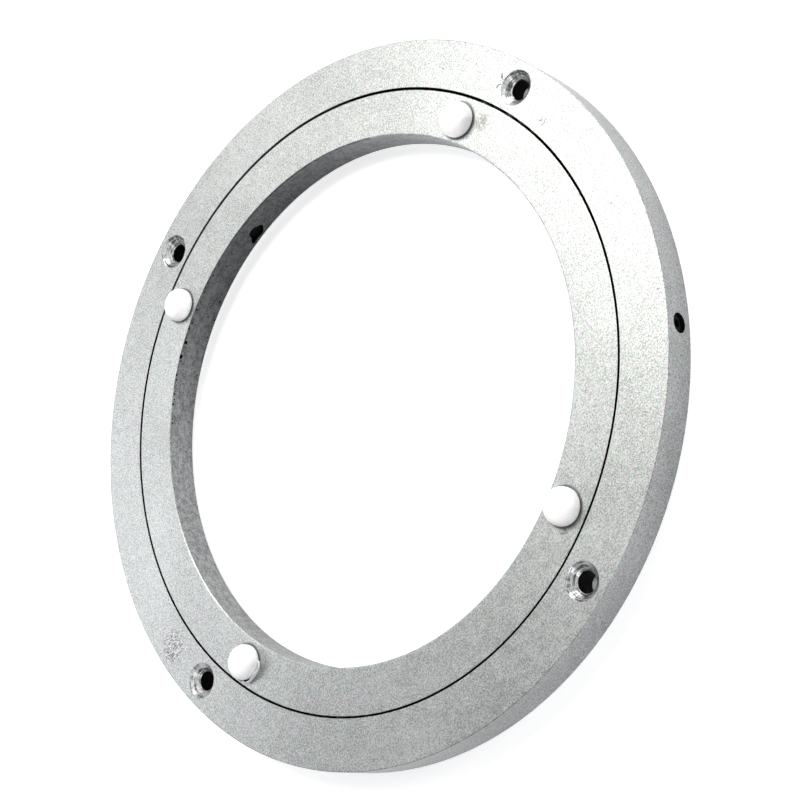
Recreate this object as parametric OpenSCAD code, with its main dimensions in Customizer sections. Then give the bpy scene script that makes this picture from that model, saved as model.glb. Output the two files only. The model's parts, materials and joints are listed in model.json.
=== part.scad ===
// Flat turntable ball bearing: two concentric aluminium rings of one thickness that turn on a
// four-point-contact row of balls, for a revolving table top, display stand or swivel base.
// The bearing axis is Z and the outer ring's back face is Z = 0. The outer ring is screwed down
// through four countersunk holes. The inner ring turns, and carries a load on four rubber pads.

/* [Rings] */
// Outside diameter of the outer ring
outside_d = 200; // [190:1:220]
// Diameter of the bore through the inner ring
bore_d = 146; // [140:1:150]
// Thickness of the outer ring
ring_t = 10; // [10:0.5:12]
// How far the inner ring's back face stands off the surface that the outer ring lies on
back_standoff = 0.65; // [0.4:0.05:1]
// Width of the open seam between the two rings
seam_w = 0.7; // [0.6:0.1:1]
// Edge break on the outer ring's outside corners
outer_edge = 0.3; // [0.2:0.1:0.6]
// Edge break on the bore's corners
bore_edge = 0.5; // [0.2:0.1:0.8]
// Edge break on the four corners beside the seam
seam_edge = 0.2; // [0.1:0.05:0.3]

/* [Ball row] */
// Diameter of the circle through the ball centres
pitch_d = 172; // [171.5:0.1:172.5]
// Diameter of a steel ball
ball_d = 5; // [4.8:0.05:5]
// How much smaller a spacer ball is than a steel ball
spacer_undersize = 0.1; // [0.1:0.01:0.15]
// Running clearance between a steel ball and each groove flank
flank_clearance = 0.15; // [0.12:0.01:0.2]
// Half width of the relief along the bottom of each groove
relief_half_w = 0.55; // [0.3:0.05:0.8]

/* [Countersunk holes] */
// Diameter of the screw hole circle
screw_pcd = 186; // [185:0.5:188]
// Diameter of each screw hole
screw_hole_d = 5.5; // [4.5:0.1:6]
// Diameter of each 90 degree countersink at the front face
countersink_d = 10; // [8:0.1:10.5]

/* [Filler port] */
// Angle of the filler port round the outer ring
filler_angle = -50.6; // [-60:0.1:-30]
// Diameter of the filler port, which passes one ball at a time
filler_port_d = 5.1; // [5.1:0.05:5.3]
// How far the plug's outer end sits below the ring's outside wall
filler_recess = 0.7; // [0.4:0.1:1.2]
// Diameter of the blind hole that a puller grips to draw the plug
pull_hole_d = 2; // [1.5:0.1:2.5]
// Depth of the plug's pull hole
pull_hole_depth = 2.2; // [1.5:0.1:3]

/* [Oil port] */
// Angle of the oil port round the inner ring's bore
oil_angle = 75; // [60:0.5:80]
// Height of the oil port's mouth above the outer ring's back face
oil_z = 3.8; // [3.6:0.1:4.5]
// Diameter of the oil port's mouth
oil_mouth_d = 4.5; // [4:0.1:4.6]
// Depth of the wide part of the oil port
oil_mouth_depth = 4; // [3.5:0.1:4.5]
// Diameter of the narrow oil way to the groove
oil_way_d = 1.2; // [1:0.1:1.5]
// How far the oil plug sits inside the bore wall
oil_recess = 0.8; // [0.5:0.1:1.2]

/* [Pads] */
// Diameter of the circle through the pads
pad_pcd = 158.6; // [158:0.1:159]
// Angle from a screw hole to the next pad
pad_angle = 8.8; // [5:0.1:40]
// Diameter of each pad
pad_d = 9.4; // [8.8:0.1:9.8]
// Height of each pad above the front face
pad_h = 4; // [3:0.1:4.5]
// Radius of each pad's rounded shoulder
pad_shoulder = 1.6; // [0.8:0.1:2]
// Diameter of the stem that holds each pad in its blind hole
stem_d = 4; // [3:0.5:4]
// Depth of each pad's blind hole
stem_hole_depth = 4.2; // [3.5:0.1:4.2]

/* [Hidden] */
BALL_COUNT = 54;
SCREW_COUNT = 4;
PAD_COUNT = 4;
STEEL_BALLS = [for (i = [1 : BALL_COUNT]) str("steel_ball_", i < 10 ? "0" : "", i)];
$fn = 96;

pitch_r = pitch_d / 2;
ball_z = ring_t / 2;
ball_step = 360 / BALL_COUNT;
spacer_d = ball_d - spacer_undersize;
outside_r = outside_d / 2;
bore_r = bore_d / 2;
outer_seam_r = pitch_r + seam_w / 2;
inner_seam_r = pitch_r - seam_w / 2;
// The flanks stand at 45 degrees, so each groove's sharp bottom would be this far from the
// ball centre, and the relief cuts it off where the groove is relief_half_w high.
groove_depth = (ball_d / 2 + flank_clearance) * sqrt(2);
groove_floor = groove_depth - relief_half_w;
groove_mouth_half_h = groove_depth - seam_w / 2;
cut = 1;
filler_plug_gap = 0.02;
oil_plug_gap = 0.05;
filler_plug_inner_r = pitch_r + groove_floor + 0.3;
filler_plug_outer_r = outside_r - filler_recess;
oil_plug_end_gap = 0.6;
stem_end_gap = 0.2;
stem_side_gap = 0.05;
arc_steps = 8;
aluminium = "silver";

module ring_of(count, radius, first_angle) {
    for (i = [0 : count - 1]) {
        rotate([0, 0, first_angle + i * 360 / count]) translate([radius, 0, 0]) children();
    }
}

// A cylinder that points outwards along a radius, from one radius to another.
module radial_rod(angle, z, r_from, r_to, d) {
    rotate([0, 0, angle]) translate([r_from, 0, z]) rotate([0, 90, 0])
        cylinder(d = d, h = r_to - r_from);
}

// Half section of the outer ring, with its groove open towards the axis.
function outer_section() = [
    [outer_seam_r, seam_edge],
    [outer_seam_r + seam_edge, 0],
    [outside_r - outer_edge, 0],
    [outside_r, outer_edge],
    [outside_r, ring_t - outer_edge],
    [outside_r - outer_edge, ring_t],
    [outer_seam_r + seam_edge, ring_t],
    [outer_seam_r, ring_t - seam_edge],
    [outer_seam_r, ball_z + groove_mouth_half_h],
    [pitch_r + groove_floor, ball_z + relief_half_w],
    [pitch_r + groove_floor, ball_z - relief_half_w],
    [outer_seam_r, ball_z - groove_mouth_half_h]
];

// Half section of the inner ring, with its groove open away from the axis.
function inner_section() = [
    [bore_r, back_standoff + bore_edge],
    [bore_r + bore_edge, back_standoff],
    [inner_seam_r - seam_edge, back_standoff],
    [inner_seam_r, back_standoff + seam_edge],
    [inner_seam_r, ball_z - groove_mouth_half_h],
    [pitch_r - groove_floor, ball_z - relief_half_w],
    [pitch_r - groove_floor, ball_z + relief_half_w],
    [inner_seam_r, ball_z + groove_mouth_half_h],
    [inner_seam_r, ring_t - seam_edge],
    [inner_seam_r - seam_edge, ring_t],
    [bore_r + bore_edge, ring_t],
    [bore_r, ring_t - bore_edge]
];

module countersunk_hole() {
    cone_h = (countersink_d - screw_hole_d) / 2;
    translate([0, 0, -cut]) cylinder(d = screw_hole_d, h = ring_t + 2 * cut);
    translate([0, 0, ring_t - cone_h])
        cylinder(d1 = screw_hole_d, d2 = countersink_d + 2 * cut, h = cone_h + cut);
}

// The fixed ring: a through hole and countersink at each screw, and the filler port.
module outer_ring() {
    color(aluminium) difference() {
        rotate_extrude() polygon(outer_section());
        ring_of(SCREW_COUNT, screw_pcd / 2, 0) countersunk_hole();
        radial_rod(filler_angle, ball_z, outer_seam_r - cut, outside_r + cut, filler_port_d);
    }
}

// The oil port's wide mouth opens in the bore, and its narrow way climbs to the groove floor.
module oil_port() {
    way_start_r = bore_r + oil_mouth_depth - cut;
    way_end_r = pitch_r - groove_floor + relief_half_w;
    run = way_end_r - way_start_r;
    rise = ball_z - oil_z;
    radial_rod(oil_angle, oil_z, bore_r - cut, bore_r + oil_mouth_depth, oil_mouth_d);
    rotate([0, 0, oil_angle]) translate([way_start_r, 0, oil_z])
        rotate([0, 90 - atan2(rise, run), 0])
            cylinder(d = oil_way_d, h = norm([run, rise]));
}

// The turning ring: a blind hole for each pad's stem, and the oil port.
module inner_ring() {
    color(aluminium) difference() {
        rotate_extrude() polygon(inner_section());
        ring_of(PAD_COUNT, pad_pcd / 2, pad_angle)
            translate([0, 0, ring_t - stem_hole_depth])
                cylinder(d = stem_d + 2 * stem_side_gap, h = stem_hole_depth + cut);
        oil_port();
    }
}

module steel_ball(index) {
    color("gray") rotate([0, 0, index * ball_step]) translate([pitch_r, 0, ball_z])
        sphere(d = ball_d);
}

// One nylon ball stands between each two steel balls and keeps them from rubbing.
module spacer_balls() {
    color("black") translate([0, 0, ball_z])
        ring_of(BALL_COUNT, pitch_r, ball_step / 2) sphere(d = spacer_d);
}

// The black plug that is pressed into the filler port, with its pull hole facing outwards.
module filler_plug() {
    color("dimgray") difference() {
        radial_rod(filler_angle, ball_z, filler_plug_inner_r, filler_plug_outer_r,
            filler_port_d - 2 * filler_plug_gap);
        radial_rod(filler_angle, ball_z, filler_plug_outer_r - pull_hole_depth,
            filler_plug_outer_r + cut, pull_hole_d);
    }
}

module oil_plug() {
    color("black") radial_rod(oil_angle, oil_z, bore_r + oil_recess,
        bore_r + oil_mouth_depth - oil_plug_end_gap, oil_mouth_d - 2 * oil_plug_gap);
}

// Half section of a pad: the stem below the front face, the button with its shoulder above.
function pad_section() = concat(
    [
        [0, stem_end_gap - stem_hole_depth],
        [stem_d / 2, stem_end_gap - stem_hole_depth],
        [stem_d / 2, 0],
        [pad_d / 2, 0]
    ],
    [for (i = [0 : arc_steps]) [
        pad_d / 2 - pad_shoulder + pad_shoulder * cos(i * 90 / arc_steps),
        pad_h - pad_shoulder + pad_shoulder * sin(i * 90 / arc_steps)
    ]],
    [[0, pad_h]]
);

module pads() {
    color("white") translate([0, 0, ring_t])
        ring_of(PAD_COUNT, pad_pcd / 2, pad_angle) rotate_extrude() polygon(pad_section());
}

outer_ring();
inner_ring();
spacer_balls();
filler_plug();
oil_plug();
pads();
for (i = [0 : BALL_COUNT - 1]) steel_ball(i);
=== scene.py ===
"""Looks for a flat turntable ball bearing: two sandblasted aluminium rings that turn on a hidden
ball row, with countersunk screw holes, white rubber pads and two plugged radial ports.

The rings and pads are rebuilt here with rounded edges and tool marks, in the places that the CAD
nodes give. The balls, spacers and plugs stay CAD nodes and get their materials here.
"""

import json
import math
import random

import bpy
import numpy as np
from mathutils import Matrix, Vector, noise


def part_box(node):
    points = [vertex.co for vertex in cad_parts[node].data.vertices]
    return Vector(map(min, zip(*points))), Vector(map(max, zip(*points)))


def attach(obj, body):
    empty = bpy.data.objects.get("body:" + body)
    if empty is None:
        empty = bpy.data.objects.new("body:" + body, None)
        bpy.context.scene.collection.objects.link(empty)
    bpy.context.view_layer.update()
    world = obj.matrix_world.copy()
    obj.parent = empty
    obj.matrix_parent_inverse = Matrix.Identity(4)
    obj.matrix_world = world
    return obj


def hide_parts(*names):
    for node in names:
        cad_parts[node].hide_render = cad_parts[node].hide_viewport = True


MM = 0.001
TURN = 2 * math.pi

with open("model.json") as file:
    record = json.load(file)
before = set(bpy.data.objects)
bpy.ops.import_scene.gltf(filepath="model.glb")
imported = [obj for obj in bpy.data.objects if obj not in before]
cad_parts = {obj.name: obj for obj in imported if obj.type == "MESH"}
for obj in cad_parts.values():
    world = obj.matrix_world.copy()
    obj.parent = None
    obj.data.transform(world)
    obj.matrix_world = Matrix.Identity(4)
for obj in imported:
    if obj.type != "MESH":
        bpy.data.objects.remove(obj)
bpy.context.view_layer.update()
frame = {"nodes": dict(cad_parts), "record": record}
mounts = {m["name"]: m for m in frame["record"]["mounts"]}
nodes = frame["nodes"]

# ---------------------------------------------------------------- sizes, all in metres

outer_low, outer_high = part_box("outer_ring")
inner_low, inner_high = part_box("inner_ring")
ball_low, ball_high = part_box("steel_ball_01")
plug_low, plug_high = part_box("filler_plug")
oil_low, oil_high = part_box("oil_plug")
pads_low, pads_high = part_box("pads")

TOP_Z = outer_high.z
OUTSIDE_R = outer_high.x
INNER_SEAM_R = inner_high.x
INNER_BACK_Z = inner_low.z
BORE_R = mounts["inner_bore"]["dims"]["r_mm"] * MM
BALL_CENTRE = (ball_low + ball_high) / 2
PITCH_R = math.hypot(BALL_CENTRE.x, BALL_CENTRE.y)
OUTER_SEAM_R = 2 * PITCH_R - INNER_SEAM_R
GROOVE_Z = BALL_CENTRE.z
# Each groove's flanks stand at 45 degrees, and a relief cuts off its sharp bottom.
FLANK_CLEARANCE = 0.15 * MM
GROOVE_RELIEF = 0.55 * MM
GROOVE_DEPTH = ((ball_high.z - ball_low.z) / 2 + FLANK_CLEARANCE) * math.sqrt(2)
GROOVE_FLOOR = GROOVE_DEPTH - GROOVE_RELIEF
GROOVE_MOUTH = GROOVE_DEPTH - (PITCH_R - INNER_SEAM_R)

SCREW_R = mounts["screw_holes"]["dims"]["pcd_mm"] * MM / 2
SCREW_COUNT = mounts["screw_holes"]["dims"]["count"]
SCREW_HOLE_R = mounts["screw_holes"]["dims"]["hole_r_mm"] * MM
SINK_R = 5.0 * MM
# Each screw hole's wall is bare metal below this height and painted near black above it, as
# painted shade.
CLEAN_WALL_Z = [3.0 * MM, 0.3 * MM, 0.3 * MM, 1.7 * MM]
# How wide each countersink was cut, as a share of its drawn width.
SINK_WIDTHS = [0.97, 1.03, 1.0, 0.97]

PAD_PLACE = Vector(mounts["pad_face"]["pos_m"])
PAD_CIRCLE_R = math.hypot(PAD_PLACE.x, PAD_PLACE.y)
PAD_ANGLE = math.atan2(PAD_PLACE.y, PAD_PLACE.x)
PAD_COUNT = 4
# The moulded heads swell a little past their drawn width.
PAD_SWELL = 0.12 * MM
PAD_R = pads_high.x - PAD_PLACE.x + PAD_SWELL
PAD_TOP_Z = PAD_PLACE.z
PAD_SHOULDER = 2.3 * MM
PAD_CROWN = 0.18 * MM
PAD_UNDERCUT = 0.16 * MM
STEM_R = 2.0 * MM
STEM_FOOT_Z = pads_low.z
STEM_HOLE_R = STEM_R + 0.05 * MM
STEM_HOLE_DEPTH = 4.2 * MM
# How far each pad's head was pressed out of place, outwards and anticlockwise.
PAD_DRIFT = [
    (-0.2 * MM, 0.6 * MM),
    (0.3 * MM, -0.4 * MM),
    (0.45 * MM, -0.55 * MM),
    (-0.45 * MM, -0.4 * MM),
]

PLUG_CENTRE = (plug_low + plug_high) / 2
FILLER_ANGLE = math.atan2(PLUG_CENTRE.y, PLUG_CENTRE.x)
FILLER_PORT_R = 2.55 * MM
OIL_CENTRE = (oil_low + oil_high) / 2
OIL_ANGLE = math.atan2(OIL_CENTRE.y, OIL_CENTRE.x)
OIL_PORT_R = 2.25 * MM
OIL_PORT_DEPTH = 4.0 * MM

# Hairs of swarf at the holes: (name, (angle in degrees, radius), heading and sweep in degrees,
# curl radius, thickness).
SWARF = [
    ("swarf_hair_1", (3.0, 92.0 * MM), 75, 150, 0.9 * MM, 0.1 * MM),
    ("swarf_hair_2", (3.1, 93.3 * MM), 100, -120, 1.1 * MM, 0.1 * MM),
    ("swarf_hair_3", (87.1, 92.6 * MM), -100, 70, 1.0 * MM, 0.14 * MM),
]

# The pad with a torn head, and where its edge is nicked, in degrees.
TORN_PAD = 2
TORN_NICKS = (58, 82, 104, 131)

BORE_FILLET = 0.4 * MM
# How far the bore's front edge takes the turned finish, darkened as painted shade, each way from
# the oil port.
SHADED_EDGE = math.radians(42)

RING_SEGMENTS = 960
FILLET_STEPS = 5
SUPPORT = 0.12 * MM


# ---------------------------------------------------------------- mesh helpers

def mesh_object(name, vertices, faces):
    mesh = bpy.data.meshes.new(name)
    mesh.from_pydata([tuple(v) for v in vertices], [], [tuple(f) for f in faces])
    mesh.validate()
    mesh.update()
    piece = bpy.data.objects.new(name, mesh)
    bpy.context.scene.collection.objects.link(piece)
    return piece


def grid_faces(rows, columns, close_rows):
    """Quads of a grid whose columns run round and meet, and whose rows may meet too."""
    faces = []
    for row in range(rows if close_rows else rows - 1):
        below = (row + 1) % rows
        for column in range(columns):
            after = (column + 1) % columns
            faces.append((
                row * columns + column,
                row * columns + after,
                below * columns + after,
                below * columns + column,
            ))
    return faces


def filleted(corners):
    """An outline from (r, z, fillet radius) corners, with each fillet as an arc.

    A support point on each side of an arc keeps the shading of the flat beyond it flat.
    """
    outline = []
    count = len(corners)
    for i, (r, z, radius) in enumerate(corners):
        here = np.array((r, z))
        if not radius:
            outline.append(here)
            continue
        before = np.array(corners[i - 1][:2]) - here
        after = np.array(corners[(i + 1) % count][:2]) - here
        before, after = before / np.linalg.norm(before), after / np.linalg.norm(after)
        half = math.acos(np.clip(before @ after, -1, 1)) / 2
        middle = (before + after) / np.linalg.norm(before + after)
        centre = here + middle * radius / math.sin(half)
        first = here + before * radius / math.tan(half) - centre
        last = here + after * radius / math.tan(half) - centre
        swing = math.acos(np.clip(first @ last / radius**2, -1, 1))
        outline.append(centre + first + before * SUPPORT)
        for step in range(FILLET_STEPS + 1):
            t = step / FILLET_STEPS
            arc = (math.sin((1 - t) * swing) * first + math.sin(t * swing) * last)
            outline.append(centre + arc / math.sin(swing))
        outline.append(centre + last + after * SUPPORT)
    return outline


def lathed(name, outline, segments, wobble):
    """A closed ring of revolution. wobble moves a point, given (r, z) and its angle."""
    vertices = []
    for r, z in outline:
        for k in range(segments):
            angle = TURN * k / segments
            rr, zz = wobble(r, z, angle)
            vertices.append((rr * math.cos(angle), rr * math.sin(angle), zz))
    return mesh_object(name, vertices, grid_faces(len(outline), segments, True))


def turned_cutter(stations, segments, relief=None):
    """Closed cutter about +Z from (r, z) stations, capped at both ends. relief moves r."""
    vertices = []
    for r, z in stations:
        for k in range(segments):
            angle = TURN * k / segments
            rr = r if relief is None else r + relief(z, angle)
            vertices.append((rr * math.cos(angle), rr * math.sin(angle), z))
    faces = grid_faces(len(stations), segments, False)
    faces.append(tuple(range(segments))[::-1])
    faces.append(tuple(range((len(stations) - 1) * segments, len(stations) * segments)))
    return np.array(vertices), faces


def moved(vertices, matrix):
    rotation = np.array(matrix.to_3x3())
    return vertices @ rotation.T + np.array(matrix.translation)


def along_radius(angle, r, z):
    """Places a cutter about +Z so that it points outwards along a radius from (r, z)."""
    return (
        Matrix.Rotation(angle, 4, "Z")
        @ Matrix.Translation((r, 0, z))
        @ Matrix.Rotation(math.pi / 2, 4, "Y")
    )


def joined_cutters(name, parts):
    vertices, faces = [], []
    for part_vertices, part_faces in parts:
        start = len(vertices)
        vertices.extend(part_vertices)
        faces.extend(tuple(start + i for i in face) for face in part_faces)
    return mesh_object(name, vertices, faces)


def cut(piece, cutter):
    """Takes the cutter out of the piece for good, and removes the cutter."""
    modifier = piece.modifiers.new("cut", "BOOLEAN")
    modifier.operation = "DIFFERENCE"
    modifier.solver = "EXACT"
    modifier.object = cutter
    bpy.context.view_layer.update()
    evaluated = piece.evaluated_get(bpy.context.evaluated_depsgraph_get())
    result = bpy.data.meshes.new_from_object(evaluated)
    piece.modifiers.clear()
    piece.data = result
    bpy.data.objects.remove(cutter)


def smooth(piece, angle=32):
    piece.data.shade_smooth()
    piece.data.set_sharp_from_angle(angle=math.radians(angle))


def on_circle(count, radius, first):
    for k in range(count):
        angle = first + TURN * k / count
        yield k, Vector((radius * math.cos(angle), radius * math.sin(angle), 0))


# ---------------------------------------------------------------- rings

# Tears in the oil port's mouth: (which way from the back face, how wide, both in radians; how far
# beyond the port), and how deep they go into the wall.
OIL_TEARS = [(1.17, 0.3, 2.0 * MM), (-1.63, 0.4, 0.8 * MM)]
TEAR_DEPTH = 1.6 * MM

# Stretch of the bore's edges that chipped when it was turned, and the chips along it.
CHIP_FROM, CHIP_TO = math.radians(88), math.radians(127)
CHIP_COUNT = 34
BIG_CHIPS = (15, 18)
BIG_CHIP_SIZE = 0.56 * MM
BACK_CHIP_EVERY = 4

# The outer ring's side of the seam is cut this far off centre, towards this angle.
SEAM_OFF_CENTRE = 0.14 * MM
SEAM_WIDEST = math.radians(72)


def edge_wear(seed, depth):
    """Wobble that rounds a ring's edges a little unevenly, as tumbling does."""

    def wobble(r, z, angle):
        if abs(r - OUTER_SEAM_R) < 0.3 * MM and z > GROOVE_Z + GROOVE_MOUTH - 0.01 * MM:
            r += SEAM_OFF_CENTRE * math.cos(angle - SEAM_WIDEST)
        if TOP_Z - z < 0.001 * MM or z - outer_low.z < 0.001 * MM:
            return r, z
        around = Vector((math.cos(angle), math.sin(angle), seed))
        return r - depth * abs(noise.noise(around * 9 + Vector((0, 0, z / MM)))), z

    return wobble


def outer_outline():
    return filleted([
        (OUTER_SEAM_R, outer_low.z, 0.2 * MM),
        (OUTSIDE_R, outer_low.z, 0.4 * MM),
        (OUTSIDE_R, TOP_Z, 0.14 * MM),
        (OUTER_SEAM_R, TOP_Z, 0.07 * MM),
        (OUTER_SEAM_R, GROOVE_Z + GROOVE_MOUTH, 0),
        (PITCH_R + GROOVE_FLOOR, GROOVE_Z + GROOVE_RELIEF, 0),
        (PITCH_R + GROOVE_FLOOR, GROOVE_Z - GROOVE_RELIEF, 0),
        (OUTER_SEAM_R, GROOVE_Z - GROOVE_MOUTH, 0),
    ])


def inner_outline():
    return filleted([
        (BORE_R, INNER_BACK_Z, 0.45 * MM),
        (INNER_SEAM_R, INNER_BACK_Z, 0.2 * MM),
        (INNER_SEAM_R, GROOVE_Z - GROOVE_MOUTH, 0),
        (PITCH_R - GROOVE_FLOOR, GROOVE_Z - GROOVE_RELIEF, 0),
        (PITCH_R - GROOVE_FLOOR, GROOVE_Z + GROOVE_RELIEF, 0),
        (INNER_SEAM_R, GROOVE_Z + GROOVE_MOUTH, 0),
        (INNER_SEAM_R, TOP_Z, 0.07 * MM),
        (BORE_R, TOP_Z, BORE_FILLET),
    ])


def countersink_cutter(hole):
    """Screw hole and countersink, with the chatter that a hand-held countersink leaves."""
    draw = random.Random(40 + hole)
    lobes = draw.choice((7, 9, 11))
    phase, second = draw.uniform(0, TURN), draw.uniform(0, TURN)
    sink_r = SINK_R * SINK_WIDTHS[hole]
    sink_depth = sink_r - SCREW_HOLE_R
    cone_foot = TOP_Z - sink_depth

    def relief(z, angle):
        up = (z - cone_foot) / sink_depth
        if up < 0:
            # The drill wandered, so the hole below the cone is not quite round.
            return 0.05 * MM * abs(math.sin(1.5 * angle + phase)) * min(1.0, -8 * up)
        chatter = math.sin(lobes * angle + phase + 3.0 * up)
        chatter += 0.6 * math.sin((2 * lobes + 3) * angle + second)
        feed = math.sin(TURN * 4 * up + angle)
        fade = min(1.0, 4 * up) * max(0.25, min(1.0, 5 * (1.05 - up)))
        return (0.035 * chatter + 0.03 * feed) * MM * fade

    stations = [(SCREW_HOLE_R, -1 * MM), (SCREW_HOLE_R, CLEAN_WALL_Z[hole])]
    steps = 24
    for step in range(steps + 1):
        down = 1 - step / steps
        stations.append((SCREW_HOLE_R, cone_foot - 1.5 * MM * down))
    for step in range(1, steps + 1):
        up = step / steps
        stations.append((SCREW_HOLE_R + sink_depth * up, cone_foot + sink_depth * up))
    stations.append((sink_r + 1.0 * MM, TOP_Z + 1.0 * MM))
    return turned_cutter(stations, 144, relief)


def oil_mouth_cutter():
    """The oil port's mouth, ragged and torn at its edge."""

    def relief(z, angle):
        into = z - MM
        ragged = 0.16 * MM * noise.noise(Vector((math.cos(angle), math.sin(angle), 4)) * 1.9)
        if into > TEAR_DEPTH + 0.1 * MM:
            return 0.0
        # The cutter's own angle 0 points at the ring's back face once it is in place.
        away = (angle + math.pi) % TURN - math.pi
        for towards, width, beyond in OIL_TEARS:
            ragged += beyond * math.exp(-((away - towards) / width) ** 2)
        return ragged

    mouth = [
        (OIL_PORT_R, 0),
        (OIL_PORT_R, MM + TEAR_DEPTH),
        (OIL_PORT_R, 1.3 * MM + TEAR_DEPTH),
        (OIL_PORT_R, MM + OIL_PORT_DEPTH),
    ]
    return turned_cutter(mouth, 96, relief)


def chips():
    """(angle, height, size) of each chip along the bore's edges, most at the front."""
    draw = random.Random(17)
    for chip in range(CHIP_COUNT):
        size = BIG_CHIP_SIZE if chip in BIG_CHIPS else draw.uniform(0.16, 0.34) * MM
        along = (chip + draw.uniform(0.35, 0.65)) / CHIP_COUNT
        angle = CHIP_FROM + (CHIP_TO - CHIP_FROM) * along
        down = draw.uniform(0.25, 0.8) * MM
        at_back = chip % BACK_CHIP_EVERY == 1
        yield angle, (INNER_BACK_Z + 2 * down if at_back else TOP_Z - down), size


def chip_cutter(angle, height, size):
    """A ragged pick-shaped bite that opens in the bore wall."""
    steps, segments = 5, 12
    stations = []
    for step in range(steps + 1):
        t = step / steps
        stations.append((size * math.sqrt(max(0.02, 1 - t * t)), size * (1.4 * t - 0.4)))

    def relief(z, turn):
        tip = 1 - (z / size + 0.4) / 1.4
        where = Vector((math.cos(turn), math.sin(turn), angle * 90)) * 1.7
        return size * 0.25 * tip * noise.noise(where)

    vertices, faces = turned_cutter(stations, segments, relief)
    return moved(vertices, along_radius(angle, BORE_R, height)), faces


def outer_ring():
    ring = lathed("outer_ring_blasted", outer_outline(), RING_SEGMENTS, edge_wear(3, 0.02 * MM))
    parts = []
    for hole, place in on_circle(SCREW_COUNT, SCREW_R, 0):
        vertices, faces = countersink_cutter(hole)
        parts.append((moved(vertices, Matrix.Translation(place)), faces))
    reach = [(FILLER_PORT_R, 0), (FILLER_PORT_R, OUTSIDE_R - OUTER_SEAM_R + 2 * MM)]
    vertices, faces = turned_cutter(reach, 96)
    place = along_radius(FILLER_ANGLE, OUTER_SEAM_R - 1 * MM, GROOVE_Z)
    parts.append((moved(vertices, place), faces))
    cut(ring, joined_cutters("outer_cutters", parts))
    return ring


def inner_ring():
    ring = lathed("inner_ring_blasted", inner_outline(), RING_SEGMENTS, edge_wear(8, 0.03 * MM))
    parts = []
    blind = [(STEM_HOLE_R, TOP_Z - STEM_HOLE_DEPTH), (STEM_HOLE_R, TOP_Z + 1 * MM)]
    for _, place in on_circle(PAD_COUNT, PAD_CIRCLE_R, PAD_ANGLE):
        vertices, faces = turned_cutter(blind, 64)
        parts.append((moved(vertices, Matrix.Translation(place)), faces))
    vertices, faces = oil_mouth_cutter()
    place = along_radius(OIL_ANGLE, BORE_R - 1 * MM, OIL_CENTRE.z)
    parts.append((moved(vertices, place), faces))
    parts.extend(chip_cutter(*chip) for chip in chips())
    cut(ring, joined_cutters("inner_cutters", parts))
    return ring


def swarf(name, start, heading, sweep, curl_r, thickness):
    """A hair of swarf left standing at a hole: a tapered tube along an arc on the face.

    start is (x, y), and heading is the way that the arc sets off.
    """
    steps, sides = 22, 8
    bend = 1 if sweep > 0 else -1
    centre_x = start[0] - bend * curl_r * math.sin(heading)
    centre_y = start[1] + bend * curl_r * math.cos(heading)
    first = heading - bend * math.pi / 2
    vertices = []
    for step in range(steps + 1):
        t = step / steps
        around = first + sweep * t
        radius = thickness * (0.25 + 0.75 * math.sin(math.pi * min(1.0, 0.08 + 0.92 * t)) ** 0.6)
        lift = TOP_Z + 0.3 * thickness + 0.25 * MM * t * t
        for side in range(sides):
            angle = TURN * side / sides
            r = curl_r + radius * math.cos(angle)
            vertices.append((
                centre_x + r * math.cos(around),
                centre_y + r * math.sin(around),
                lift + radius * math.sin(angle),
            ))
    faces = grid_faces(steps + 1, sides, False)
    faces.append(tuple(range(sides))[::-1])
    faces.append(tuple(range(steps * sides, (steps + 1) * sides)))
    if bend > 0:
        faces = [face[::-1] for face in faces]
    piece = mesh_object(name, vertices, faces)
    smooth(piece, 60)
    return piece


# ---------------------------------------------------------------- pads

def pad_outline():
    """(share of the head's drift, radius, height) from the stem's end to the crown's middle."""
    foot = TOP_Z - 0.02 * MM
    side_top = PAD_TOP_Z - PAD_CROWN - PAD_SHOULDER
    outline = [
        (0, STEM_R - 0.3 * MM, STEM_FOOT_Z),
        (0, STEM_R, STEM_FOOT_Z + 0.3 * MM),
        (0, STEM_R, foot),
        (1, PAD_R - PAD_UNDERCUT - 0.3 * MM, foot),
        (1, PAD_R - PAD_UNDERCUT, foot + 0.04 * MM),
    ]
    undercuts, sides, arcs, crowns = 5, 4, 10, 8
    for step in range(undercuts):
        turn = math.pi / 2 * step / undercuts
        outline.append((
            1,
            PAD_R - PAD_UNDERCUT * (1 - math.sin(turn)),
            foot + 0.1 * MM + PAD_UNDERCUT * (1 - math.cos(turn)),
        ))
    side_foot = foot + 0.1 * MM + PAD_UNDERCUT
    for step in range(sides):
        t = step / sides
        bulge = 0.07 * MM * math.sin(math.pi * t)
        outline.append((1, PAD_R + bulge, side_foot + (side_top - side_foot) * t))
    shoulder_r = PAD_R - PAD_SHOULDER
    for step in range(arcs + 1):
        turn = math.pi / 2 * step / arcs
        outline.append((
            1,
            shoulder_r + PAD_SHOULDER * math.cos(turn),
            side_top + PAD_SHOULDER * math.sin(turn),
        ))
    for step in range(1, crowns + 1):
        t = step / (crowns + 0.5)
        outline.append((1, shoulder_r * (1 - t), PAD_TOP_Z - PAD_CROWN * (1 - t) ** 2))
    return outline


def dent(angle, towards, width):
    """1 where angle is at towards, falling to 0 beyond width."""
    away = (angle - towards + math.pi) % TURN - math.pi
    return math.exp(-((away / width) ** 2))


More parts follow.
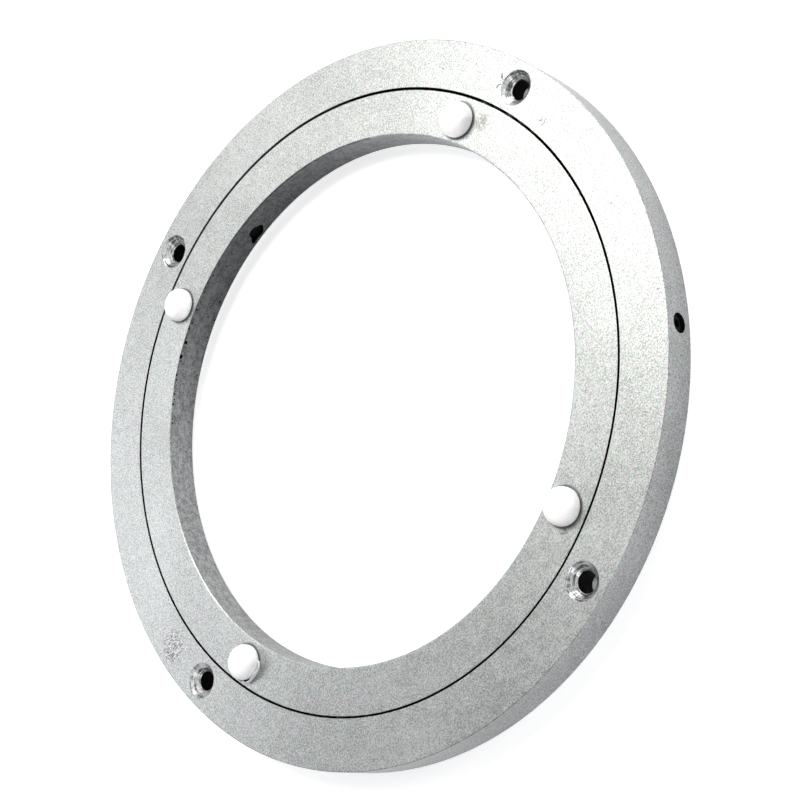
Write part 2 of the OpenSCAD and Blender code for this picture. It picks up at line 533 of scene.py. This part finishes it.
def pad(index, place):
    """A moulded rubber foot: a fat button on a stem, a little out of round."""
    segments = 96
    height = PAD_TOP_Z - TOP_Z
    drift = head_place(index, place) - place
    lean = random.Random(index).uniform(0, TURN)
    vertices = []
    for share, radius, z in pad_outline():
        centre = place + drift * share
        up = (z - TOP_Z) / height
        for k in range(segments):
            angle = TURN * k / segments
            where = Vector((math.cos(angle), math.sin(angle), 0.8 * up + index * 5.1))
            bumpy = 1.0
            if share:
                bumpy += 0.016 * noise.noise(where * 1.6) + 0.014 * noise.noise(where * 8)
                bumpy += 0.01 * math.cos(2 * (angle - lean))
            if share and index == TORN_PAD:
                torn = sum(dent(angle, math.radians(a), 0.07) for a in TORN_NICKS)
                bumpy -= 0.035 * torn * min(1.0, max(0.0, 1.6 * up))
            r = radius * bumpy
            level = Vector((r * math.cos(angle), r * math.sin(angle), 0)) / PAD_R
            sag = 0.12 * MM * up * noise.noise(level * 1.3 + Vector((0, 0, index * 5.1)))
            z_here = z + sag * share - 0.03 * MM * share * up
            vertices.append((
                centre.x + r * math.cos(angle),
                centre.y + r * math.sin(angle),
                min(z_here, PAD_TOP_Z),
            ))
    rows = len(vertices) // segments
    faces = grid_faces(rows, segments, False)
    faces.append(tuple(range(segments))[::-1])
    faces.append(tuple(range((rows - 1) * segments, rows * segments)))
    piece = mesh_object(f"pad_{index + 1}", vertices, faces)
    smooth(piece, 50)
    return piece, place + drift


def torn_brim(centre):
    """The lip of flash that stands off one side of the torn pad."""
    steps, sides = 40, 10
    start, end = math.radians(203), math.radians(312)
    vertices = []
    for step in range(steps + 1):
        t = step / steps
        angle = start + (end - start) * t
        swell = math.sin(math.pi * t) ** 0.5
        gap = (-0.25 + 1.05 * swell + 0.2 * math.sin(9 * t)) * MM
        tall = (0.3 + 1.1 * swell + 0.25 * math.sin(14 * t)) * MM
        thick = (0.12 + 0.15 * swell + 0.045 * math.sin(23 * t)) * MM
        for side in range(sides):
            turn = TURN * side / sides
            r = PAD_R + gap + thick * math.cos(turn)
            vertices.append((
                centre.x + r * math.cos(angle),
                centre.y + r * math.sin(angle),
                TOP_Z - 0.02 * MM + tall * (0.5 + 0.5 * math.sin(turn)),
            ))
    faces = [face[::-1] for face in grid_faces(steps + 1, sides, False)]
    faces.append(tuple(range(sides)))
    faces.append(tuple(range(steps * sides, (steps + 1) * sides))[::-1])
    piece = mesh_object("pad_3_brim", vertices, faces)
    smooth(piece, 60)
    return piece


# ---------------------------------------------------------------- materials

class Shader:
    """Builds one material's nodes."""

    def __init__(self, name):
        self.material = bpy.data.materials.new(name)
        self.material.use_nodes = True
        self.tree = self.material.node_tree
        self.surface = self.tree.nodes["Principled BSDF"]
        self.place = self.node("ShaderNodeTexCoord").outputs["Object"]

    def node(self, kind, **settings):
        made = self.tree.nodes.new(kind)
        for key, value in settings.items():
            setattr(made, key, value)
        return made

    def link(self, source, target):
        self.tree.links.new(source, target)

    def set(self, **values):
        for key, value in values.items():
            self.surface.inputs[key.replace("_", " ")].default_value = value

    def wire(self, socket, source):
        """Links a source to one of the surface's sockets."""
        self.link(source, self.surface.inputs[socket])

    def noise(self, size, detail=2.0, roughness=0.5, place=None):
        """Noise from 0 to 1 whose largest features are about size across."""
        made = self.node("ShaderNodeTexNoise")
        self.link(place or self.place, made.inputs["Vector"])
        made.inputs["Scale"].default_value = 1 / size
        made.inputs["Detail"].default_value = detail
        made.inputs["Roughness"].default_value = roughness
        return made.outputs["Fac"]

    def vector(self, x, y, z):
        made = self.node("ShaderNodeCombineXYZ")
        for socket, value in zip(made.inputs, (x, y, z), strict=True):
            if isinstance(value, (int, float)):
                socket.default_value = value
            else:
                self.link(value, socket)
        return made.outputs["Vector"]

    def parts(self):
        """The x, y and z of the shaded place."""
        made = self.node("ShaderNodeSeparateXYZ")
        self.link(self.place, made.inputs["Vector"])
        return [made.outputs[axis] for axis in "XYZ"]

    def near(self, centre, inner, outer):
        """1 within inner of a point, falling to 0 at outer."""
        made = self.node("ShaderNodeVectorMath", operation="DISTANCE")
        self.link(self.place, made.inputs[0])
        made.inputs[1].default_value = centre
        return self.ramp(made.outputs["Value"], inner, outer, 1.0, 0.0)

    def math(self, operation, a, b=None):
        made = self.node("ShaderNodeMath", operation=operation)
        for socket, value in zip(made.inputs, (a, b), strict=False):
            if value is None:
                continue
            if isinstance(value, (int, float)):
                socket.default_value = value
            else:
                self.link(value, socket)
        return made.outputs[0]

    def weighted(self, *shares):
        """Sum of (source, weight) pairs."""
        total = 0.0
        for source, weight in shares:
            total = self.math("ADD", self.math("MULTIPLY", source, weight), total)
        return total

    def length(self, a, b):
        squares = [self.math("MULTIPLY", side, side) for side in (a, b)]
        return self.math("SQRT", self.math("ADD", *squares))

    def ramp(self, source, low, high, to_low=0.0, to_high=1.0):
        made = self.node("ShaderNodeMapRange", interpolation_type="SMOOTHSTEP")
        self.link(source, made.inputs["Value"])
        for key, value in zip(
            ("From Min", "From Max", "To Min", "To Max"), (low, high, to_low, to_high), strict=True
        ):
            made.inputs[key].default_value = value
        return made.outputs["Result"]

    def blend(self, amount, a, b, mode="MIX"):
        """Colour mix. a and b are colours or sockets, and amount is a share or a socket."""
        made = self.node("ShaderNodeMix", data_type="RGBA", blend_type=mode)
        if isinstance(amount, (int, float)):
            made.inputs["Factor"].default_value = amount
        else:
            self.link(amount, made.inputs["Factor"])
        for key, value in (("A", a), ("B", b)):
            socket = next(s for s in made.inputs if s.name == key and s.type == "RGBA")
            if isinstance(value, tuple):
                socket.default_value = (*value, 1)
            else:
                self.link(value, socket)
        return next(s for s in made.outputs if s.type == "RGBA")

    def bump(self, height, depth, strength=1.0, normal=None):
        made = self.node("ShaderNodeBump")
        made.inputs["Distance"].default_value = depth
        made.inputs["Strength"].default_value = strength
        self.link(height, made.inputs["Height"])
        if normal is not None:
            self.link(normal, made.inputs["Normal"])
        return made.outputs["Normal"]


def polar(angle, radius):
    """The place on the front face at an angle in degrees and a radius."""
    return (radius * math.cos(math.radians(angle)), radius * math.sin(math.radians(angle)), TOP_Z)


def head_place(index, place):
    """Where the middle of a pad's head has ended up."""
    outward = place.normalized()
    across = Vector((-outward.y, outward.x, 0))
    return place + outward * PAD_DRIFT[index][0] + across * PAD_DRIFT[index][1]


# Middles of the pads' heads, round which a painted contact shadow lies on the ring's face.
PAD_SHADOW_CENTRES = [
    (*head_place(index, place)[:2], TOP_Z)
    for index, place in on_circle(PAD_COUNT, PAD_CIRCLE_R, PAD_ANGLE)
]

# Scuffed patches on the front faces: (place, radius of the patch, how deep).
SCUFFS = [
    (polar(170.3, 93.2 * MM), 6.5 * MM, 1.0),
    (polar(351.3, 90.2 * MM), 2.2 * MM, 0.5),
    (polar(80.1, 93.8 * MM), 5.0 * MM, 0.4),
]
# Dark smears: (place, radius of the patch, how dark it is). The one beside the fourth pad is a
# painted shadow.
SMEARS = [(polar(3.6, 81.2 * MM), 3.4 * MM, 0.66), (polar(274.9, 81.5 * MM), 1.9 * MM, 0.9)]


def blasted_aluminium():
    s = Shader("blasted_aluminium")
    grain = s.noise(0.42 * MM, 3, 0.8)
    clumps = s.noise(2.2 * MM, 3, 0.6)
    clouds = s.noise(26 * MM, 3, 0.55)
    tone = s.weighted((grain, 0.8), (clumps, 0.1), (clouds, 0.1))
    colour = s.blend(s.ramp(tone, 0.38, 0.62), (0.27, 0.278, 0.275), (0.61, 0.628, 0.622))

    # A faint two-tone cast, as the blasting grit leaves it.
    cast = s.ramp(s.noise(1.1 * MM, 3, 0.7), 0.4, 0.6)
    colour = s.blend(1.0, colour, s.blend(cast, (0.92, 1.0, 0.92), (1.0, 0.912, 1.0)), "MULTIPLY")

    # The outside wall was turned after the blasting, so it is a little darker.
    x, y, _ = s.parts()
    wall = s.ramp(s.length(x, y), OUTSIDE_R - 0.4 * MM, OUTSIDE_R - 0.04 * MM)
    colour = s.blend(wall, colour, s.blend(1.0, colour, (0.7, 0.7, 0.71), "MULTIPLY"))

    # Stray specks of grit and small pits.
    pits = s.node("ShaderNodeTexVoronoi")
    s.link(s.place, pits.inputs["Vector"])
    pits.inputs["Scale"].default_value = 1 / (6.5 * MM)
    pits.inputs["Randomness"].default_value = 1.0
    pit = s.ramp(pits.outputs["Distance"], 0.03, 0.06, 1.0, 0.0)
    colour = s.blend(s.math("MULTIPLY", pit, 0.65), colour, (0.1, 0.095, 0.09))

    # The scuffs are fine wandering lines, with the metal between them rubbed bright.
    wander = s.math("ABSOLUTE", s.math("SUBTRACT", s.noise(1.3 * MM, 2, 0.6), 0.5))
    lines = s.ramp(wander, 0.0, 0.06, 1.0, 0.0)
    patches = 0.0
    for place, reach, depth in SCUFFS:
        patch = s.math("MULTIPLY", s.near(place, 0.3 * reach, reach), depth)
        patches = s.math("MAXIMUM", patch, patches)
    colour = s.blend(s.math("MULTIPLY", patches, 0.35), colour, (0.66, 0.67, 0.665))
    scuff = s.math("MULTIPLY", lines, patches)
    colour = s.blend(s.math("MULTIPLY", scuff, 0.6), colour, (0.16, 0.16, 0.165))

    # Painted shade: a dark ring round each pad's foot paints its contact shadow. Dark smears lie
    # beside two of the pads.
    blotch = s.ramp(s.noise(0.7 * MM, 3, 0.6), 0.38, 0.56)
    for place in PAD_SHADOW_CENTRES:
        line = s.math("MULTIPLY", s.near(place, PAD_R + 0.25 * MM, PAD_R + 1.0 * MM), 0.88)
        colour = s.blend(line, colour, (0.1, 0.1, 0.1))
    for place, reach, darkness in SMEARS:
        smear = s.math("MULTIPLY", blotch, s.near(place, 0.3 * reach, reach))
        colour = s.blend(s.math("MULTIPLY", smear, darkness), colour, (0.16, 0.145, 0.13))

    s.wire("Base Color", colour)
    s.wire("Roughness", s.ramp(clumps, 0.2, 0.8, 0.38, 0.46))
    fine = s.bump(grain, 0.06 * MM, 0.35, s.bump(clumps, 0.1 * MM, 0.2))
    s.wire("Normal", s.bump(scuff, 0.12 * MM, 0.9, fine))
    s.set(Metallic=1.0)
    return s.material


def turned_shaded_aluminium():
    """The bore's wall: cut on a lathe, with its colour darkened below the blasted faces as painted
    shade.
    """
    s = Shader("turned_shaded_aluminium")
    x, y, z = s.parts()
    around = s.math("ARCTAN2", y, x)
    along = s.vector(s.math("MULTIPLY", around, 6.0), s.math("DIVIDE", z, 0.5 * MM), 0)
    feed = s.noise(1.0, 3, 0.6, along)
    grain = s.noise(0.5 * MM, 3, 0.7)
    clumps = s.noise(1.8 * MM, 3, 0.65)
    tone = s.ramp(s.weighted((feed, 0.14), (grain, 0.5), (clumps, 0.36)), 0.35, 0.65)
    colour = s.blend(tone, (0.105, 0.107, 0.11), (0.355, 0.36, 0.366))

    # Painted shade: the wall is darker still on the oil port's side, and this fades out on both
    # sides.
    spread = s.math("ABSOLUTE", s.math("SUBTRACT", around, OIL_ANGLE))
    painted_shade = s.ramp(spread, math.radians(8), math.radians(66), 0.95, 0.0)
    painted_dark = s.blend(tone, (0.033, 0.035, 0.038), (0.108, 0.112, 0.118))
    colour = s.blend(painted_shade, colour, painted_dark)
    s.wire("Base Color", colour)
    s.wire("Roughness", s.ramp(clumps, 0.2, 0.8, 0.4, 0.52))
    s.wire("Normal", s.bump(grain, 0.06 * MM, 0.35, s.bump(feed, 0.04 * MM, 0.3)))
    s.set(Metallic=1.0)
    return s.material


def machined_aluminium():
    """The countersinks: bright, with the arcs and the radial tears of a hand-held cutter."""
    s = Shader("machined_aluminium")
    x, y, _ = s.parts()
    far, wide = s.math("ABSOLUTE", x), s.math("ABSOLUTE", y)
    # Each hole lies on the x or the y axis, so these are the place's offsets from its middle.
    out = s.math("SUBTRACT", s.math("MAXIMUM", far, wide), SCREW_R)
    side = s.math("MINIMUM", far, wide)
    side = s.math("MULTIPLY", side, s.math("MULTIPLY", s.math("SIGN", x), s.math("SIGN", y)))
    radius = s.length(out, side)
    turn = s.math("ARCTAN2", side, out)
    # A different run of marks in each hole, because x and y differ so much between holes.
    which = s.math("ADD", s.math("DIVIDE", x, 20 * MM), s.math("DIVIDE", y, 31 * MM))

    def run(turns, spacing, roughness):
        round_hole = s.math("MULTIPLY", turn, turns)
        place = s.vector(round_hole, s.math("DIVIDE", radius, spacing), which)
        return s.noise(1.0, 3, roughness, place)

    arcs, tears = run(0.9, 0.34 * MM, 0.65), run(6.5, 1.6 * MM, 0.6)
    marks = s.weighted((arcs, 0.72), (tears, 0.28))
    colour = s.blend(s.ramp(marks, 0.41, 0.55), (0.1, 0.102, 0.105), (0.66, 0.67, 0.67))
    s.wire("Base Color", colour)
    s.wire("Roughness", s.ramp(marks, 0.35, 0.65, 0.34, 0.48))
    s.wire("Normal", s.bump(marks, 0.16 * MM, 0.7))
    s.set(Metallic=1.0)
    return s.material


def painted_shade_black():
    """Near-black painted shade on the grooves, the seam's walls, the ports' walls, the chips and
    the screw holes' walls.
    """
    s = Shader("painted_shade_black")
    smears = s.noise(1.5 * MM, 4, 0.6)
    colour = s.blend(s.ramp(smears, 0.35, 0.7), (0.002, 0.002, 0.0018), (0.007, 0.0065, 0.006))
    s.wire("Base Color", colour)
    s.wire("Roughness", s.ramp(smears, 0.3, 0.7, 0.3, 0.6))
    s.set(Metallic=0.0, Specular_IOR_Level=0.04)
    return s.material


def white_rubber():
    s = Shader("white_rubber")
    mottle = s.noise(1.8 * MM, 3, 0.6)
    pores = s.noise(0.3 * MM, 2, 0.5)
    colour = s.blend(mottle, (0.965, 0.965, 0.955), (0.985, 0.985, 0.98))
    s.wire("Base Color", colour)
    s.wire("Roughness", s.ramp(mottle, 0.3, 0.7, 0.38, 0.5))
    s.wire("Normal", s.bump(pores, 0.02 * MM, 0.3))
    s.set(Subsurface_Weight=0.3, Subsurface_Scale=0.0015)
    return s.material


def clear_flash():
    """The torn pad's lip: the same rubber, thin enough to shine and to let the metal through."""
    s = Shader("clear_flash")
    mottle = s.noise(0.6 * MM, 3, 0.6)
    colour = s.blend(mottle, (0.8, 0.8, 0.82), (0.95, 0.95, 0.96))
    s.wire("Base Color", colour)
    s.wire("Roughness", s.ramp(mottle, 0.3, 0.7, 0.08, 0.25))
    s.wire("Normal", s.bump(mottle, 0.1 * MM, 0.4))
    s.set(Transmission_Weight=0.2, IOR=1.41)
    return s.material


def black_plug(name, gloss_low, gloss_high):
    s = Shader(name)
    mottle = s.noise(0.8 * MM, 3, 0.6)
    colour = s.blend(mottle, (0.001, 0.001, 0.001), (0.004, 0.004, 0.004))
    s.wire("Base Color", colour)
    s.wire("Roughness", s.ramp(mottle, 0.3, 0.7, gloss_low, gloss_high))
    s.wire("Normal", s.bump(mottle, 0.05 * MM, 0.3))
    s.set(Specular_IOR_Level=0.03)
    return s.material


def shaded_bearing_steel():
    """Polished balls whose colour is painted dark, as shade in the seam, which takes most of their
    shine.
    """
    s = Shader("shaded_bearing_steel")
    painted_shade = s.noise(1.2 * MM, 3, 0.6)
    s.wire("Base Color", s.blend(painted_shade, (0.04, 0.04, 0.041), (0.11, 0.11, 0.113)))
    s.wire("Roughness", s.ramp(painted_shade, 0.3, 0.7, 0.3, 0.5))
    s.set(Metallic=1.0)
    return s.material


# The spacers are black nylon, and their black also stands as painted shade in the seam.
def black_nylon_and_shade():
    s = Shader("black_nylon_and_shade")
    mottle = s.noise(1.5 * MM, 3, 0.6)
    s.wire("Base Color", s.blend(mottle, (0.006, 0.006, 0.006), (0.018, 0.018, 0.019)))
    s.wire("Roughness", s.ramp(mottle, 0.3, 0.7, 0.4, 0.6))
    s.set(Specular_IOR_Level=0.3)
    return s.material


# ---------------------------------------------------------------- camera, floor and light

AIM = Vector((7.33, -15.77, 10.03)) * MM
CAMERA_AZIMUTH = math.radians(-72.4)
CAMERA_ELEVATION = math.radians(47.8)
CAMERA_DISTANCE = 463.6 * MM
CAMERA_ROLL = math.radians(-75.0)
CAMERA_LENS_MM = 78.84


def camera():
    """Looks at AIM from the side, and rolled, so that the flat ring seems to stand on edge."""
    level = math.cos(CAMERA_ELEVATION)
    back = Vector((
        level * math.cos(CAMERA_AZIMUTH),
        level * math.sin(CAMERA_AZIMUTH),
        math.sin(CAMERA_ELEVATION),
    ))
    data = bpy.data.cameras.new("camera")
    data.lens = CAMERA_LENS_MM
    data.sensor_width = 36.0
    data.clip_start = 0.01
    seen_from = bpy.data.objects.new("camera", data)
    bpy.context.scene.collection.objects.link(seen_from)
    seen_from.rotation_mode = "QUATERNION"
    upright = (-back).to_track_quat("-Z", "Y")
    seen_from.rotation_quaternion = upright @ Matrix.Rotation(CAMERA_ROLL, 3, "Z").to_quaternion()
    seen_from.location = AIM + back * CAMERA_DISTANCE
    bpy.context.scene.camera = seen_from


def softbox(name, azimuth, elevation, watts, tint):
    """A square soft light that faces the middle of the ring."""
    level = math.cos(math.radians(elevation))
    towards = Vector((
        level * math.cos(math.radians(azimuth)),
        level * math.sin(math.radians(azimuth)),
        math.sin(math.radians(elevation)),
    ))
    data = bpy.data.lights.new(name, "AREA")
    data.shape = "SQUARE"
    data.size = SOFTBOX_SIZE
    data.energy = watts
    data.color = tint
    light = bpy.data.objects.new(name, data)
    bpy.context.scene.collection.objects.link(light)
    light.location = towards * SOFTBOX_DISTANCE
    light.rotation_mode = "QUATERNION"
    light.rotation_quaternion = (-towards).to_track_quat("-Z", "Y")


SOFTBOX_SIZE = 0.35
SOFTBOX_DISTANCE = 1.0
WORLD_LIGHT = 0.27
# The floor's paper is lit from below as well, which thins the shadows on it.
PAPER_GLOW = 0.43
FLOOR_HALF_WIDTH = 4.0
PLAIN, WARM, COOL = (1, 1, 1), (1, 1, 0.95), (0.965, 0.98, 1)
# Softboxes, all the same size and distance: (name, azimuth, elevation, watts, tint).
SOFTBOXES = [
    ("key", 63, 59, 5.0, WARM),
    ("key_side", 92, 42, 0.62, PLAIN),
    ("back_low", 120, 31, 1.32, COOL),
    ("back_left", 135, 30, 0.5, COOL),
    ("front_fill", -110, 35, 2.8, COOL),
    ("front_right", -36, 38, 1.7, PLAIN),
    ("right_low", 20, 12, 6.6, PLAIN),
    ("left_low", 180, 12, 0.8, PLAIN),
]


def studio():
    s = Shader("floor_paper")
    fibres = s.noise(6 * MM, 3, 0.6)
    s.wire("Base Color", s.blend(fibres, (0.92, 0.92, 0.925), (0.95, 0.95, 0.955)))
    s.set(Roughness=0.9, Specular_IOR_Level=0.2)
    s.set(Emission_Color=(1, 1, 1, 1), Emission_Strength=PAPER_GLOW)
    half = FLOOR_HALF_WIDTH
    corners = [(-half, -half, 0), (half, -half, 0), (half, half, 0), (-half, half, 0)]
    floor = mesh_object("floor", corners, [(0, 1, 2, 3)])
    floor.data.materials.append(s.material)

    world = bpy.data.worlds.new("studio")
    bpy.context.scene.world = world
    world.use_nodes = True
    backdrop = world.node_tree.nodes["Background"]
    backdrop.inputs["Color"].default_value = (1, 1, 1, 1)
    backdrop.inputs["Strength"].default_value = WORLD_LIGHT

    for name, azimuth, elevation, watts, tint in SOFTBOXES:
        softbox(name, azimuth, elevation, watts, tint)
    bpy.context.scene.view_settings.view_transform = "Standard"


# ---------------------------------------------------------------- assembly

def hole_offset(centre):
    """How far a point is from the axis of the nearest screw hole, all on the x or y axis."""
    across = max(abs(centre.x), abs(centre.y)) - SCREW_R
    return math.hypot(across, min(abs(centre.x), abs(centre.y)))


def port_offset(centre, angle, z):
    """How far a point is from a radial port's axis, and how far out along it."""
    out = centre.x * math.cos(angle) + centre.y * math.sin(angle)
    side = centre.y * math.cos(angle) - centre.x * math.sin(angle)
    return math.hypot(side, centre.z - z), out


def is_in_seam(centre):
    """Is a face of either ring inside the seam or a groove?"""
    r = math.hypot(centre.x, centre.y)
    reach = GROOVE_FLOOR if abs(centre.z - GROOVE_Z) < GROOVE_MOUTH else 0.45 * MM
    return abs(r - PITCH_R) < reach + 0.01 * MM and centre.z < TOP_Z - 0.05 * MM


def paint(piece, materials, choose):
    """Gives each face the material of the finish that choose(face) names."""
    slots = {finish: slot for slot, finish in enumerate(materials)}
    piece.data.materials.clear()
    for material in materials.values():
        piece.data.materials.append(material)
    for face in piece.data.polygons:
        face.material_index = slots[choose(face)]


BLASTED, DARK, BRIGHT, TURNED_SHADED = "blasted", "dark", "bright", "turned"
CHIPS = list(chips())
# How far the middle of a wall's face may stand off the wall.
SLACK = 0.02 * MM


def outer_finish(face):
    centre = face.center
    # The filler port's walls, the screw holes' walls above CLEAN_WALL_Z and the seam are painted
    # near black, as painted shade.
    offset, out = port_offset(centre, FILLER_ANGLE, GROOVE_Z)
    if offset < FILLER_PORT_R + SLACK and 0 < out < OUTSIDE_R - 0.15 * MM:
        return DARK
    if hole_offset(centre) < SCREW_HOLE_R + 0.09 * MM and abs(face.normal.z) < 0.5:
        hole = round(math.atan2(centre.y, centre.x) / TURN * SCREW_COUNT) % SCREW_COUNT
        return DARK if centre.z > CLEAN_WALL_Z[hole] else BRIGHT
    sink_reach = SINK_R * max(SINK_WIDTHS) + 0.15 * MM
    if hole_offset(centre) < sink_reach and 0.3 < face.normal.z < 0.95:
        return BRIGHT
    return DARK if is_in_seam(centre) else BLASTED


def inner_finish(face):
    centre = face.center
    r = math.hypot(centre.x, centre.y)
    cut_in = r > BORE_R + 2 * SLACK
    # The oil port's walls, the chips and the seam are painted near black, as painted shade.
    offset, out = port_offset(centre, OIL_ANGLE, OIL_CENTRE.z)
    reach = OIL_PORT_R + max(beyond for _, _, beyond in OIL_TEARS)
    if offset < reach and cut_in and 0 < out < BORE_R + OIL_PORT_DEPTH + MM:
        if INNER_BACK_Z + 0.5 * MM < centre.z < TOP_Z - MM:
            return DARK
    off_wall = r > BORE_R + SLACK / 2 and abs(face.normal.z) < 0.995
    for angle, height, size in CHIPS:
        spot = Vector((BORE_R * math.cos(angle), BORE_R * math.sin(angle), height))
        if off_wall and (centre - spot).length < 1.25 * size:
            return DARK
    # The bore's wall, and its front edge on the oil port's side, take the turned finish, darkened
    # as painted shade.
    painted_dark = abs(math.atan2(centre.y, centre.x) - OIL_ANGLE) < SHADED_EDGE
    if r < BORE_R + (0.3 * MM if painted_dark and centre.z > TOP_Z - BORE_FILLET else SLACK):
        return TURNED_SHADED
    return DARK if is_in_seam(centre) else BLASTED


def dress(node, material):
    nodes[node].data.materials.clear()
    nodes[node].data.materials.append(material)


camera()
blasted, shade_black, turned_and_shaded = blasted_aluminium(), painted_shade_black(), turned_shaded_aluminium()

outer = outer_ring()
paint(outer, {BLASTED: blasted, DARK: shade_black, BRIGHT: machined_aluminium()}, outer_finish)
smooth(outer)
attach(outer, "outer_ring")
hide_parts("outer_ring")

inner = inner_ring()
paint(inner, {BLASTED: blasted, DARK: shade_black, TURNED_SHADED: turned_and_shaded}, inner_finish)
smooth(inner)
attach(inner, "inner_ring")
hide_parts("inner_ring")

for name, (angle, radius), heading, sweep, curl_r, thickness in SWARF:
    arc = math.radians(heading), math.radians(sweep), curl_r
    hair = swarf(name, polar(angle, radius)[:2], *arc, thickness)
    hair.data.materials.append(turned_and_shaded)
    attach(hair, "outer_ring")

rubber = white_rubber()
for index, place in on_circle(PAD_COUNT, PAD_CIRCLE_R, PAD_ANGLE):
    foot, centre = pad(index, place)
    foot.data.materials.append(rubber)
    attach(foot, "inner_ring")
    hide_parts("pads")
    if index == TORN_PAD:
        brim = torn_brim(centre)
        brim.data.materials.append(clear_flash())
        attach(brim, "inner_ring")
        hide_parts("pads")

steel = shaded_bearing_steel()
for node in nodes:
    if node.startswith("steel_ball_"):
        dress(node, steel)
dress("spacer_balls", black_nylon_and_shade())
dress("filler_plug", black_plug("black_oxide", 0.2, 0.4))
dress("oil_plug", black_plug("black_rubber", 0.45, 0.65))

studio()
